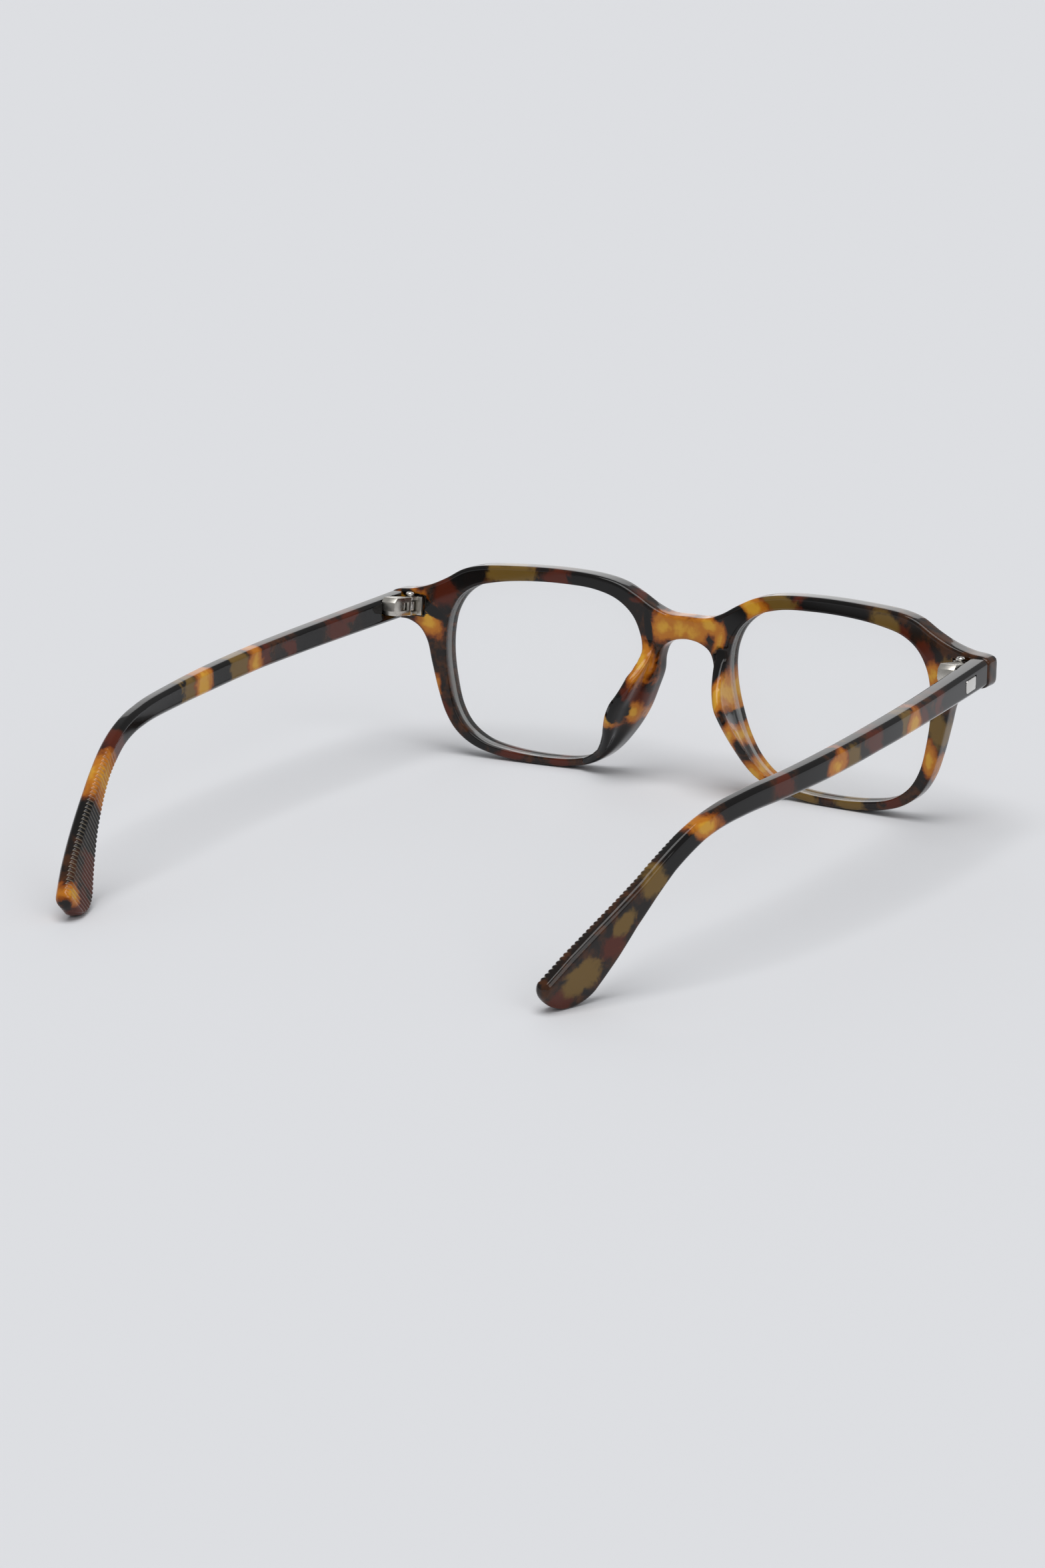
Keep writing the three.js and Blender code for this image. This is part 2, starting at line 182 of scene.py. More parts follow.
class Finish:  # one material and the nodes in it
    def __init__(self, name):
        self.material = bpy.data.materials.new(name)
        self.material.use_nodes = True
        self.tree = self.material.node_tree
        self.tree.nodes.clear()

    def node(self, kind, settings=None, sockets=None, output=0):
        made = self.tree.nodes.new(kind)
        for key, value in (settings or {}).items():
            setattr(made, key, value)
        for key, value in (sockets or {}).items():
            if isinstance(value, Wire):
                self.tree.links.new(value.socket, made.inputs[key])
            else:
                made.inputs[key].default_value = value
        return Wire(self, made.outputs[output])

    def close(self, shader):
        output = self.tree.nodes.new("ShaderNodeOutputMaterial")
        self.tree.links.new(shader.socket, output.inputs["Surface"])
        return self.material

    def place(self):
        return self.node("ShaderNodeTexCoord", output="Object")

    def noise(self, place, size, detail=2, roughness=0.5, distortion=0.0):  # size in millimetres
        return self.node("ShaderNodeTexNoise", None,
                         {"Vector": place, "Scale": 1 / (size * mm), "Detail": detail,
                          "Roughness": roughness, "Distortion": distortion})

    def ease(self, value, low, high, bottom=0.0, top=1.0):
        return self.node("ShaderNodeMapRange", {"interpolation_type": "SMOOTHSTEP"},
                         {"Value": value, "From Min": low, "From Max": high,
                          "To Min": bottom, "To Max": top})

    def mix(self, factor, first, second):
        return self.node("ShaderNodeMix", {"data_type": "RGBA"}, {0: factor, 6: first, 7: second}, 2)


acetateLook = {
    "ground": tint("#17100d"), "haze": tint("#46260f"), "dark": tint("#0b0908"),
    # the brightest amber, #d19a30, is the acetate's own amber made brighter as a painted glow of light
    # shining through it
    "amber": tint("#b8701c"), "amberCoreAndGlow": tint("#d19a30"), "olive": tint("#6f5524"),
    # the pale grey-beige #a89c86 is a painted highlight laid along the rib grooves
    "red": tint("#511c09"), "paintedRibHighlight": tint("#a89c86"), "edge": tint("#7d3d0e"),
    "patch": 3.6, "grain": 1.0, "roughness": 0.07,
}


def acetateFinish():
    look = acetateLook
    finish = Finish("tortoiseAcetate")
    place = finish.place()
    stain = finish.node("ShaderNodeAttribute", {"attribute_name": "stain"}, output="Color")
    darkness = finish.node("ShaderNodeAttribute", {"attribute_name": "stain"}, output="Alpha")
    split = finish.node("ShaderNodeSeparateColor", None, {"Color": stain})
    parts = split.socket.node.outputs
    amber, olive, red = (Wire(finish, parts[key]) for key in ("Red", "Green", "Blue"))
    patch = finish.noise(place, look["patch"], 2, 0.55, 0.6)
    grain = finish.noise(place, look["grain"], 3, 0.6)
    wander = (patch - 0.5) * 1.1 + (grain - 0.5) * 0.4

    def spread(field, low, high):
        return finish.ease(field + wander, low, high)

    colour = finish.mix(finish.ease(patch + (grain - 0.5) * 0.4, 0.4, 0.68), look["ground"], look["haze"])
    colour = finish.mix(spread(red, 0.3, 0.85), colour, look["red"])
    colour = finish.mix(spread(olive, 0.3, 0.75), colour, look["olive"])
    colour = finish.mix(spread(amber, 0.25, 0.5), colour, look["edge"])
    colour = finish.mix(spread(amber, 0.4, 0.8), colour, look["amber"])
    # the patch cores are the acetate's real amber, lightened as a painted glow of light passing through the
    # patch
    colour = finish.mix(spread(amber, 0.85, 1.25), colour, look["amberCoreAndGlow"])
    colour = finish.mix(finish.ease(darkness + wander, 0.35, 0.65), colour, look["dark"])
    # painted highlight: the rib grooves are painted pale grey-beige for the light that catches the ribs
    ribHighlightMask = finish.node("ShaderNodeAttribute", {"attribute_name": "ribHighlightMask"}, output="Fac")
    colour = finish.mix(finish.ease(ribHighlightMask, 0.45, 0.95, 0, 0.5), colour, look["paintedRibHighlight"])
    shader = finish.node("ShaderNodeBsdfPrincipled", None, {
        "Base Color": colour, "Roughness": look["roughness"], "IOR": 1.46,
        "Specular IOR Level": 0.4,
    })
    return finish.close(shader)


def metalFinish(name, colour, roughness, brushed):
    finish = Finish(name)
    place = finish.place()
    grain = finish.noise(place, 0.25, 3)
    bump = finish.node("ShaderNodeBump", None, {"Strength": brushed, "Distance": 0.02 * mm, "Height": grain},
                       "Normal")
    rough = finish.ease(finish.noise(place, 1.5), 0.3, 0.7, roughness * 0.85, roughness * 1.2)
    shader = finish.node("ShaderNodeBsdfPrincipled", None, {
        "Base Color": colour, "Metallic": 1.0, "Roughness": rough, "Normal": bump})
    return finish.close(shader)


def lensFinish():
    finish = Finish("clearLens")
    rimHighlight = finish.node("ShaderNodeAttribute", {"attribute_name": "rimHighlight"}, output="Fac")
    # painted reflection: the near-white colour shows faintly over the whole lens and stronger along its edge
    # as a painted highlight
    shader = finish.node("ShaderNodeBsdfPrincipled", None, {
        "Base Color": tint("#eef2f1"), "Roughness": 0.03, "IOR": 1.5,
        "Alpha": finish.ease(rimHighlight, 0.1, 0.9, 0.035, 0.3)})
    return finish.close(shader)


acetate = acetateFinish()
satin = metalFinish("satinSteel", tint("#c9c5bd"), 0.3, 0.25)
bright = metalFinish("brightSteel", tint("#dcdad6"), 0.14, 0.05)
clear = lensFinish()
print("finishes made")


def dress(piece, material, slot, body, *replaced):
    piece.data.materials.clear()
    piece.data.materials.append(material)
    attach(piece, body)
    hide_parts(*replaced)


# --- Colour patches -----------------------------------------------------------------------------

channels = {"amber": 0, "olive": 1, "red": 2, "dark": 3}


def stainOf(across, up, spots):  # how near each point is to the colour patches
    field = np.zeros((len(across), 4))
    for kind, x, z, wide, high, turn in spots:
        c, s = math.cos(math.radians(turn)), math.sin(math.radians(turn))
        right, rise = across - x, up - z
        reach = np.hypot((right * c + rise * s) / wide, (rise * c - right * s) / high)
        column = channels[kind]
        field[:, column] = np.maximum(field[:, column], np.clip(1.45 - 0.75 * reach, 0, 1.25))
    return field


# --- Front --------------------------------------------------------------------------------------

front = {
    "thickness": 4.6, "sweep": 430, "flat": 4, "outerRound": 0.75, "innerRound": 0.35,
    "step": 0.5, "grooveDepth": 0.6, "groove": (-1.45, -3.05),
    # outer outline from the top of the bridge round to the nose arch, and the place on the lens
    # opening that each point is joined to, counted in the opening's points
    "half": [
        (0, 13.6, 3.7), (4.6, 13.7, 3.3), (8, 14.9, 3), (12, 17.2, 2.5), (16, 19.1, 1.8), (21, 20.2, 1),
        (30, 20.8, 0), (41, 20.6, -1.4), (50, 19.9, -2.2), (53.6, 18.9, -2.8), (57.5, 16.7, -3.3),
        (61.5, 14.9, -3.7), (65.6, 13.8, -4.1), (69.2, 13.4, -4.3), (70.3, 12.8, -4.4),
        (70.5, 10.4, -4.55), (70.3, 8, -4.7), (69.3, 7.2, -4.9), (66.4, 6.8, -5.2), (63.8, 5.3, -5.8),
        (62.1, 2.6, -6.5), (61, -2, -7.3), (59.5, -8, -8.1), (57.7, -13.2, -8.8), (55.2, -17, -9.7),
        (51.2, -19.9, -10.6), (45, -21.7, -11.7), (36, -22.5, -12.8), (28, -22.1, -13.8),
        (22.2, -20.7, -14.8), (17.9, -18, -15.5), (13.7, -13.4, -16.5), (10.2, -8, -17.65),
        (8, -2.7, -18.65), (6.7, 1, -19.3), (6.4, 4.2, -19.9), (5.4, 6.7, -20.45), (3, 8.2, -20.7),
        (0, 8.7, -20.9),
    ],
    "opening": [
        (30, 17.8), (22, 17.3), (16.5, 15.6), (12.8, 12.6), (10.9, 8.8), (10.3, 5), (10.7, 0),
        (11.9, -5), (13.8, -10.2), (16.6, -14.8), (20.5, -18.2), (26, -20.1), (34, -20.7),
        (43, -20.1), (49, -18.6), (53, -15.8), (55.4, -11.8), (56.8, -6), (57.5, 0), (57.3, 5),
        (56.3, 9.3), (54, 13), (50.5, 15.4), (45, 16.8), (38, 17.6),
    ],
    # nose pads: height, how far the crest stands back, how far it leans out over the lens
    "pad": [(9, 0, -1), (6, 0.9, -0.8), (2.5, 3.6, -0.2), (0, 6, 0.4), (-3.5, 7.9, 1), (-6, 8.3, 1.7),
            (-9, 7.6, 2.1), (-12.5, 5.7, 1.9), (-15.5, 3.8, 1.4), (-18, 2, 0.8), (-20, 0.6, 0.2),
            (-21, 0, 0)],
    "spots": [
        ("amber", 66, 12, 2.6, 1.5, -20), ("amber", 61.5, 7.5, 3.4, 2.2, 60),
        ("dark", 62.5, 10.6, 5, 1.1, 32), ("red", 57.5, 13.6, 2.2, 3, 30),
        ("red", 63.6, 5, 2.4, 1.6, 40), ("amber", 60.2, -8.3, 1.2, 2.5, 10),
        ("olive", 42, 19, 5, 1.6, 0), ("red", 30, 18.9, 4, 1.4, 0), ("dark", 20, 18, 6, 2.2, 15),
        ("dark", 52, 17.6, 3.5, 2, -25), ("red", 12.5, 16.6, 1.6, 1, 20),
        ("dark", 8.8, 10.4, 0.7, 3.6, -8), ("amber", 5.2, 11, 2.6, 2.6, 0),
        ("amber", 0, 11, 4.4, 2.4, 0), ("amber", -5.6, 12.4, 2.4, 1.6, 20),
        ("amber", -8.2, 9.5, 1, 3.4, 12), ("dark", -11.4, 14, 2.2, 2.4, 30),
        ("amber", -15.8, 17.2, 3.4, 2, 20), ("olive", -21.5, 18.6, 3.4, 1.7, 0),
        ("red", -26, 18.8, 1.4, 1.6, 20), ("dark", -35, 18.8, 6, 2, 0),
        ("olive", -46.5, 17.6, 2.8, 1.8, 25), ("red", -50.5, 15.8, 2, 1.4, 20),
        ("red", -56, 12.5, 3, 1.6, 50), ("amber", -57.8, 8.6, 1.6, 2.4, 0),
        ("olive", -62, 9.5, 2.5, 2, 0), ("red", 42, -21.2, 3, 1.2, 0), ("dark", 51, -20, 3, 2, -30),
        ("red", 30, -21.5, 2, 1, 0), ("dark", 22, -19.4, 3, 1.5, 35),
        ("olive", -29, -21.6, 2.4, 1.2, 0), ("olive", -39.6, -21.2, 2.8, 1.2, 0),
        ("red", -49.6, -19, 2, 1.4, 40), ("amber", -57.6, -9, 1.4, 3.2, 0),
        ("olive", -59.5, -3, 1.6, 3, 0), ("red", 58.5, -13, 1.6, 2.4, 0),
        ("amber", 9.2, 3.4, 1.6, 3.8, 0), ("red", 10, -4, 1.4, 3, 0), ("amber", 14.6, -9, 1.2, 2.2, 30),
        ("amber", 11, -7.6, 0.8, 2, 20), ("dark", 12.6, -6, 1.2, 3, 20),
        ("dark", 16.6, -14, 2.4, 3, 40), ("dark", -8.4, 4.6, 1.4, 3, 0),
        ("amber", -10.6, -2, 1.8, 5.5, 12), ("amber", -13.4, -10.4, 1.6, 5, 30),
        ("dark", -11.9, -6.6, 0.7, 1.6, 20), ("amber", -18, -17, 2.4, 1.6, 45),
        ("red", -8, -1, 1, 3, 12),
    ],
}


def edgeOutline():  # the half outline and its mirror, as one loop
    half = np.array(front["half"])
    return np.vstack([half[:, :2], half[-2:0:-1, :2] * (-1, 1)])


def traced(outline):  # ten points to each control point
    return curveAt(outline, np.arange(0, len(outline), 0.1))


def bow(x):
    return np.maximum(0, np.abs(x) - front["flat"]) ** 2 / (2 * front["sweep"])


def roundOff(distance, radius):  # how far a rounded edge falls away near it
    inside = np.clip(radius - distance, 0, radius)
    return radius - np.sqrt(radius ** 2 - inside ** 2)


def frontColumns():  # lines from the lens opening out to the edge, over half of the front
    half = np.array(front["half"])
    shares = []
    for i in range(len(half) - 1):
        count = max(2, math.ceil(np.linalg.norm(half[i + 1, :2] - half[i, :2]) / front["step"]))
        shares += [i + k / count for k in range(count)]
    shares = np.array(shares + [len(half) - 1])
    outer = curveAt(edgeOutline(), shares)
    seams = np.interp(shares, np.arange(len(half)), half[:, 2])
    low, high = half[-1, 1], half[0, 1]
    corner = front["outerRound"] * cornerShares()[1:]
    rises = np.r_[low + corner, np.linspace(low + corner[-1], high - corner[-1], 7)[1:-1],
                  high - corner[::-1]]
    bridge = np.c_[np.zeros(len(rises)), rises]
    loop = len(front["opening"])
    bridgeSeams = np.interp(rises, [low, high], [half[-1, 2], half[0, 2] - loop])
    inner = curveAt(front["opening"], np.r_[seams, bridgeSeams])
    return inner, np.vstack([outer, bridge]), len(outer)


def cornerShares():  # steps across a quarter round
    return 1 - np.cos(np.linspace(0, math.pi / 2, 6))


def padProfile(width, height, over):  # from the lens edge over the crest to the nose edge
    inner, outer = front["innerRound"], front["outerRound"]
    knots = np.array([
        (0, -inner), (-0.25 * over, height * 0.3), (-0.75 * over, height * 0.7),
        (-0.05 - over, height * 0.92),
        (0.6 - over, height), (1.4 - over, height * 0.97), (2.1 - over, height * 0.84),
        (0.58 * width - 0.3 * over, height * 0.46), (0.86 * width, height * 0.14), (width, -outer),
    ])
    dense = openCurve(knots, 12)
    run = np.r_[0, np.cumsum(np.linalg.norm(np.diff(dense, axis=0), axis=1))]
    return dense, run / run[-1]


def openCurve(knots, steps):
    padded = np.vstack([2 * knots[0] - knots[1], knots, 2 * knots[-1] - knots[-2]])
    share = np.linspace(0, len(knots) - 1, (len(knots) - 1) * steps + 1)
    share[-1] -= 1e-9
    return curveAt(padded, share + 1)


def makeFront():
    inner, outer, edgeCount = frontColumns()
    columns = len(inner)
    run = outer - inner
    width = np.linalg.norm(run, axis=1)
    along = run / width[:, None]

    def crossing(loop):  # sine between a column and the edge that it meets
        tangent = np.roll(loop, -1, axis=0) - np.roll(loop, 1, axis=0)
        tangent /= np.maximum(np.linalg.norm(tangent, axis=1, keepdims=True), 1e-9)
        return np.clip(np.abs(along[:, 0] * tangent[:, 1] - along[:, 1] * tangent[:, 0]), 0.35, 1)

    corner = cornerShares()
    nearLens = front["innerRound"] * corner[None, :] / crossing(inner)[:, None]
    sine = crossing(outer)
    sine[edgeCount:] = 1
    nearEdge = width[:, None] - front["outerRound"] * corner[::-1][None, :] / sine[:, None]
    middle = np.linspace(nearLens[:, -1], nearEdge[:, 0], 14, axis=1)[:, 1:-1]
    reach = np.hstack([nearLens, middle, nearEdge])
    samples = reach.shape[1]
    flat = (inner[:, None] + along[:, None] * reach[:, :, None]).reshape(-1, 2)

    fall = (roundOff(distanceTo(flat, traced(edgeOutline())), front["outerRound"])
            + roundOff(distanceTo(flat, traced(front["opening"])), front["innerRound"]))
    fall = fall.reshape(columns, samples)
    fall[:, 0] = front["innerRound"]
    fall[:edgeCount, -1] = front["outerRound"]
    rearReach, rearY = reach.copy(), -fall

    pad = np.array(front["pad"])[::-1]
    fine = openCurve(pad, 10)
    nasal = inner[:, 0] < 24
    height = np.where(nasal, np.interp(inner[:, 1], fine[:, 0], fine[:, 1], 0, 0), 0)
    over = np.interp(inner[:, 1], fine[:, 0], fine[:, 2])
    for j in np.flatnonzero(height > 0.02):
        dense, share = padProfile(width[j], height[j], over[j])
        wanted = np.linspace(0, 1, samples)
        blend = ease(height[j], 0, 1.6)
        rearReach[j] += blend * (np.interp(wanted, share, dense[:, 0]) - rearReach[j])
        rearY[j] += blend * (np.interp(wanted, share, dense[:, 1]) - rearY[j])

    rings = []
    for j in range(columns):
        thick = front["thickness"]
        grooveRear, grooveFront = front["groove"]
        ring = list(zip(rearReach[j], rearY[j]))
        ring += [(width[j], -thick * 0.35), (width[j], -thick * 0.65)]
        ring += list(zip(reach[j][::-1], (fall[j] - thick)[::-1]))
        ring += [(0, grooveFront), (front["grooveDepth"], (grooveRear + grooveFront) / 2), (0, grooveRear)]
        for distance, y in ring:
            x, z = inner[j] + along[j] * distance
            rings.append((x, y + float(bow(x)), z))
    size = len(rings) // columns
    faces = []
    for j in range(columns):
        following = (j + 1) % columns
        inBridge = j >= edgeCount - 1
        for i in range(size):
            if inBridge and samples - 1 <= i <= samples + 1:
                continue
            k = (i + 1) % size
            faces.append((j * size + i, j * size + k, following * size + k, following * size + i))
    points = np.array(rings)
    used = np.unique(np.array(faces))
    number = {old: new for new, old in enumerate(used)}
    points = points[used]
    faces = [tuple(number[v] for v in face) for face in faces]
    both = np.vstack([points, points * (-1, 1, 1)])
    count = len(points)
    faces += [tuple(v + count for v in reversed(face)) for face in faces]
    piece = meshFrom("front_acetate", both, faces)
    places = uprightPoints(piece.data)
    setAttribute(piece.data, "stain", "FLOAT_COLOR", stainOf(places[:, 0], places[:, 2], front["spots"]))
    return piece


frontPiece = makeFront()
seat = {"inner": -2.4, "outer": 1.3, "deep": -2.6, "high": 2.3}


def cutterBlock(x, y, z, turn, sign):  # a block in a place's own axes, mirrored for the right side
    corners = [(a, b, c) for a in x for b in y for c in z]
    points = [turn @ Vector(corner) for corner in corners]
    faces = [(0, 1, 3, 2), (4, 6, 7, 5), (0, 4, 5, 1), (2, 3, 7, 6), (0, 2, 6, 4), (1, 5, 7, 3)]
    return meshFrom("cutter", [tuple(point) for point in points], faces, sign < 0)


def cutterTube(radius, low, high, turn, sign, around=32):
    turns = [i * 2 * math.pi / around for i in range(around)]
    points = [turn @ Vector((radius * math.cos(a), radius * math.sin(a), z))
              for z in (low, high) for a in turns]
    faces = [(i, (i + 1) % around, around + (i + 1) % around, around + i) for i in range(around)]
    faces += [tuple(range(around - 1, -1, -1)), tuple(range(around, 2 * around))]
    return meshFrom("cutter", [tuple(point) for point in points], faces, sign < 0)


def carve(piece, cutters):
    for cutter in cutters:
        modifier = piece.modifiers.new("carve", "BOOLEAN")
        modifier.object = cutter
        modifier.operation = "DIFFERENCE"
        modifier.solver = "EXACT"
    applied(piece)
    for cutter in cutters:
        bpy.data.objects.remove(cutter)
    return piece


carve(frontPiece, [cutterBlock((seat["inner"], seat["outer"]), (seat["deep"], 3),
                               (-seat["high"], seat["high"]), hingeTurn, sign)
                   for sign in sides.values()])
sharpen(frontPiece, 50)
dress(frontPiece, acetate, "tortoise_acetate", "front", "frame_front", "nose_pad_left", "nose_pad_right")
print("front:", len(frontPiece.data.polygons), "faces")


# --- Lenses -------------------------------------------------------------------------------------

lens = {"rear": -1.7, "front": -2.8, "edge": 0.5, "land": 0.1, "rings": 10}


def makeLens(side, sign):
    opening = traced(front["opening"])
    middle = opening.mean(axis=0)
    tangent = np.roll(opening, -1, axis=0) - np.roll(opening, 1, axis=0)
    tangent /= np.linalg.norm(tangent, axis=1, keepdims=True)
    outward = np.c_[-tangent[:, 1], tangent[:, 0]]
    if ((opening + outward - middle) ** 2).sum() < ((opening - middle) ** 2).sum():
        outward = -outward
    count = len(opening)
    points, faces, rimHighlight = [], [], []

    def addRing(plan, y, rimHighlightValue):
        points.extend((x, y + float(bow(x)), z) for x, z in plan)
        rimHighlight.extend([rimHighlightValue] * count)

    shares = np.linspace(0, 1, lens["rings"])[1:]
    points.append((middle[0], lens["rear"] + float(bow(middle[0])), middle[1]))
    rimHighlight.append(0)
    for share in shares:
        addRing(middle + (opening - middle) * share, lens["rear"], 0)
    # the edge rings get the full painted edge highlight
    addRing(opening + outward * lens["land"], lens["rear"], 1)
    addRing(opening + outward * lens["edge"], (lens["rear"] + lens["front"]) / 2, 1)
    addRing(opening + outward * lens["land"], lens["front"], 1)
    for share in shares[::-1]:
        addRing(middle + (opening - middle) * share, lens["front"], 0)
    points.append((middle[0], lens["front"] + float(bow(middle[0])), middle[1]))
    rimHighlight.append(0)
    ringCount = (len(points) - 2) // count
    for r in range(ringCount - 1):
        for i in range(count):
            k = (i + 1) % count
            here, there = 1 + r * count, 1 + (r + 1) * count
            faces.append((here + i, here + k, there + k, there + i))
    last = 1 + (ringCount - 1) * count
    for i in range(count):
        k = (i + 1) % count
        faces.append((0, 1 + k, 1 + i))
        faces.append((len(points) - 1, last + i, last + k))
    piece = meshFrom("lens_clear_" + side, points, faces, sign < 0)
    setAttribute(piece.data, "rimHighlight", "FLOAT", rimHighlight)
    sharpen(piece, 30)
    dress(piece, clear, "display_lens", "front", "lens_" + side)


for side, sign in sides.items():
    makeLens(side, sign)
print("lenses made")


# --- Temples ------------------------------------------------------------------------------------

temple = {
    "start": (68.2, 5.35, 10.4), "length": 148.2, "splay": -2.6, "curl": 35.3, "curlRate": 2.15,
    "drop": 3.4, "earDrop": 37.2, "earBend": (0.584, 0.834), "delay": 0.0042,
    "chamfer": 0.7, "soften": 0.3,
    "tops": [(0, 2.75), (0.2, 2.6), (0.34, 2.6), (0.47, 2.4), (0.56, 2.15), (0.65, 2), (0.72, 2.4),
             (0.78, 2.55), (0.82, 2.8), (0.86, 3.45), (0.9, 4.1), (0.945, 4.7), (1, 4.9)],
    "bottoms": [(0, 2.75), (0.2, 2.4), (0.34, 2.2), (0.47, 2.4), (0.56, 2.35), (0.65, 2.2), (0.72, 1.7),
                (0.78, 1.8), (0.82, 2.3), (0.86, 3), (0.9, 4.2), (0.945, 5.3), (1, 5.4)],
    "thicknesses": [(0, 4.2), (0.1, 4), (0.3, 3.8), (0.5, 3.4), (0.7, 2.9), (1, 3.2)],
    "rolls": [(0, 0), (0.78, 0), (0.83, 4), (0.9, 9), (0.95, 14), (1, 20)],
    "apex": 2.5, "endRound": 1.7, "mitre": 32, "mitreAt": -0.7, "gap": 0.3,
}
ribs = {"Pitch": 0.95, "Depth": 0.36, "Slant": 0.05, "Start": 111.0, "End": 147.5}
templeSpots = {
    "left": [("red", 20.5, 1.6, 3, 1, 0), ("red", 25, 0, 3.5, 2, 30), ("red", 41, 0, 2.5, 1.5, 20),
             ("red", 50.6, 0, 1.4, 3, 10), ("amber", 54, 0, 2, 4, 15), ("olive", 60, 0, 3.6, 3, 10),
             ("dark", 66, 0, 2.6, 4, 0), ("amber", 72.8, 0, 2.6, 4, 15), ("olive", 79, 0, 3.6, 3, 0),
             ("dark", 90, 0, 8, 4, 0), ("dark", 101, 0, 4, 4, 0), ("red", 109, 0, 2.5, 4, 0),
             ("amber", 118, 0, 4.6, 5, 0), ("dark", 129, 0, 4, 5, 0), ("red", 137, -2, 4, 3, 0),
             ("amber", 145.5, 3, 1.6, 2, 0), ("red", 146, -1, 3, 3, 0), ("dark", 8, 0, 7, 4, 0),
             ("dark", 35, 0, 4, 3, 0)],
    "right": [("dark", 11, 0, 9, 4, 0), ("red", 24, 0, 2.2, 2.2, 30),
              ("red", 31.5, -0.6, 1.2, 2.6, -30), ("amber", 36.5, -0.8, 2.4, 2.2, -20),
              ("olive", 40, 0.4, 3, 2, 0), ("dark", 46, 0, 3.5, 3, 0), ("red", 53, 0, 3, 2.4, 20),
              ("olive", 62, -0.6, 2.5, 2.4, 0), ("amber", 67.5, -0.4, 3, 1.8, -20),
              ("dark", 76, 0, 4, 3, 0), ("red", 84.6, 0.4, 2.6, 1.8, 0), ("dark", 95, 0, 5, 3, 0),
              ("amber", 106, 0.6, 3.6, 1.6, 20), ("dark", 113, 0, 3.5, 3, 0),
              ("olive", 120, 0.6, 2.6, 1.8, 0), ("olive", 129, 0.6, 2.6, 1.4, 0),
              ("red", 133, -0.6, 2.4, 1.8, 0), ("olive", 140.6, 0, 3.4, 2.2, 20),
              ("red", 146, 0, 2, 2, 0)],
}


def templeFrames(distances):  # place, along, up and out at each distance; the tip's section is rolled
    table = np.linspace(0, 1, 1001)
    late = np.maximum(0, table - temple["delay"])
    turn = np.radians(temple["splay"] + temple["curl"] * late ** temple["curlRate"])
    pitch = np.radians(temple["drop"] + temple["earDrop"] * ease(late, *temple["earBend"]))
    along = np.c_[-np.sin(turn) * np.cos(pitch), np.cos(turn) * np.cos(pitch), -np.sin(pitch)]
    up = np.c_[-np.sin(turn) * np.sin(pitch), np.cos(turn) * np.sin(pitch), np.cos(pitch)]
    out = np.cross(along, up)
    steps = along * temple["length"] / (len(table) - 1)
    place = np.array(temple["start"]) + np.vstack([np.zeros(3), np.cumsum(steps[:-1], axis=0)])
    roll = np.radians(lookUp(temple["rolls"], table))[:, None]
    rise = up * np.cos(roll) + out * np.sin(roll)
    share = np.clip(np.asarray(distances, float) / temple["length"], 0, 1)

    def pick(values):
        return np.c_[tuple(np.interp(share, table, values[:, k]) for k in range(3))]

    return pick(place), pick(along), pick(rise), pick(np.cross(along, rise))


def lookUp(table, share):
    return np.interp(share, [row[0] for row in table], [row[1] for row in table])


def templeSection(wide, bottom, top):  # a softened octagon, denser on the inner face
    edge = min(temple["chamfer"], wide / 2, (top - bottom) / 4)
    corners = [(wide - edge, bottom), (wide, bottom + edge), (wide, top - edge), (wide - edge, top),
               (edge - wide, top), (-wide, top - edge), (-wide, bottom + edge), (edge - wide, bottom)]
    counts = [1, 6, 1, 2, 1, 16, 1, 2]
    section = []
    for i, count in enumerate(counts):
        before, here, there, after = (np.array(corners[(i + k) % 8]) for k in (-1, 0, 1, 2))
        soft = min(temple["soften"], np.linalg.norm(there - here) * 0.4)
        into = here + (before - here) / np.linalg.norm(before - here) * soft
        start = here + (there - here) / np.linalg.norm(there - here) * soft
        end = there + (here - there) / np.linalg.norm(here - there) * soft
        section += [into * (1 - t) ** 2 + 2 * here * t * (1 - t) + start * t * t for t in (0.25, 0.5, 0.75)]
        section += [start + (end - start) * k / count for k in range(count + 1)]
    return np.array(section)


def makeTempleBody(side, sign):
    length = temple["length"]
    endRound = temple["endRound"]
    body = np.arange(0, ribs["Start"], 1.0)
    ribbed = np.arange(ribs["Start"], length - endRound, ribs["Pitch"] / 8)
    tip = length - endRound * (1 - np.sin(np.linspace(0, math.pi / 2, 14)))[:-1]
    distances = np.r_[body, ribbed, tip[1:], length - 0.002]
    places, alongs, ups, outs = templeFrames(distances)
    points = []
    for distance, place, up, out in zip(distances, places, ups, outs):
        left = length - distance

        def rounded(reach):
            return reach * math.sqrt(1 - max(0, 1 - left / reach) ** 2)

        share = distance / length
        above = lookUp(temple["tops"], share)
        apex = min(temple["apex"], above - 0.3)
        wide = lookUp(temple["thicknesses"], share) / 2
        section = templeSection(wide * rounded(endRound) / endRound,
                                apex - rounded(lookUp(temple["bottoms"], share) + apex),
                                apex + rounded(above - apex))
        points.append(place + section[:, :1] * out + section[:, 1:] * up)
    size = len(points[0])
    faces = []
    for r in range(len(points) - 1):
        for i in range(size):
            k = (i + 1) % size
            faces.append((r * size + i, r * size + k, (r + 1) * size + k, (r + 1) * size + i))
    faces.append(tuple(range(size - 1, -1, -1)))
    faces.append(tuple(range((len(points) - 1) * size, len(points) * size)))
    return meshFrom("temple_acetate_" + side, np.vstack(points), faces, sign < 0)


